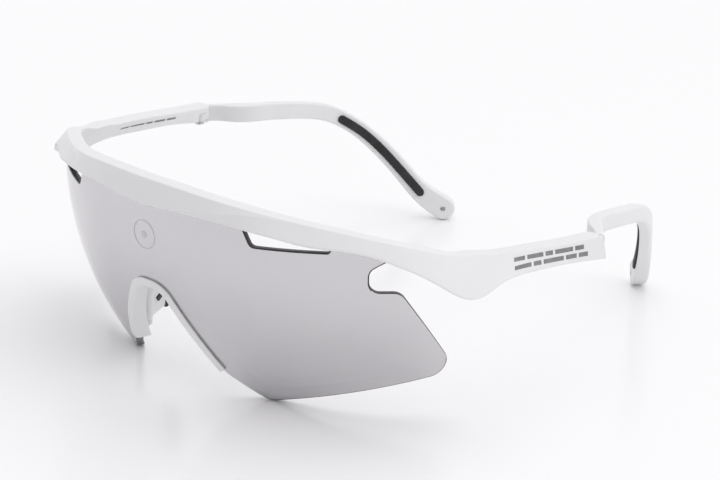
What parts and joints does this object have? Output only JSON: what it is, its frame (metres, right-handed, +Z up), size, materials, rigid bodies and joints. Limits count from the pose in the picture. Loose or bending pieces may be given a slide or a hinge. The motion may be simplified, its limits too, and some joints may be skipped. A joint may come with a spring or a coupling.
{
  "type": "wraparound sport sunglasses",
  "caption": "Half-rim wraparound sport sunglasses: one mirrored shield lens under a white brow frame, folding temple arms with rubber grips and an adjustable nose piece.",
  "frame": {"origin": "on the surface the open glasses stand on, under the middle of their width and depth", "axes": "+X towards the wearer's left, +Y from the lens back towards the ears, +Z up"},
  "size_m": [0.1392, 0.1438, 0.0532],
  "materials": {
    "frame_white": "satin, fine moulded grain",
    "lens_mirror": "silver mirror coating on grey tinted polycarbonate",
    "pad_rubber": "matt soft elastomer",
    "grip_rubber": "matt soft elastomer",
    "core_black": "sleeved wire, matt",
    "screw_steel": "plain stainless steel",
    "insert_brass": "machined",
    "washer_nylon": "plain"
  },
  "bodies": {
    "front": {"brow_frame": "frame_white", "shield_lens": "lens_mirror", "nose_bridge": "frame_white", "hinge_screw_left": "screw_steel", "hinge_screw_right": "screw_steel", "hinge_insert_left": "insert_brass", "hinge_insert_right": "insert_brass", "hinge_washer_low_left": "washer_nylon", "hinge_washer_low_right": "washer_nylon", "hinge_washer_high_left": "washer_nylon", "hinge_washer_high_right": "washer_nylon", "nose_wire_left": "core_black", "nose_wire_right": "core_black"},
    "temple_left": {"temple_arm_left": "frame_white", "ear_grip_left": "grip_rubber"},
    "temple_right": {"temple_arm_right": "frame_white", "ear_grip_right": "grip_rubber"},
    "nose_wing_left": {"nose_wing_left": "frame_white", "nose_key_left": "pad_rubber", "nose_pad_left": "pad_rubber"},
    "nose_wing_right": {"nose_wing_right": "frame_white", "nose_key_right": "pad_rubber", "nose_pad_right": "pad_rubber"}
  },
  "joints": [
    {"name": "fold_left", "type": "hinge", "parent": "front", "child": "temple_left", "pos_m": [0.0651, 0.00856, 0.03409], "axis": [0, 0, 1], "range_deg": [0, 92]},
    {"name": "fold_right", "type": "hinge", "parent": "front", "child": "temple_right", "pos_m": [-0.0651, 0.00856, 0.03409], "axis": [0, 0, -1], "range_deg": [0, 92]},
    {"name": "nose_adjust_left", "type": "hinge", "parent": "front", "child": "nose_wing_left", "pos_m": [0.0152, -0.05484, 0.00894], "axis": [-0.4593, -0.378, 0.8038], "range_deg": [-8, 8]},
    {"name": "nose_adjust_right", "type": "hinge", "parent": "front", "child": "nose_wing_right", "pos_m": [-0.0152, -0.05484, 0.00894], "axis": [0.4593, -0.378, 0.8038], "range_deg": [-8, 8]}
  ]
}
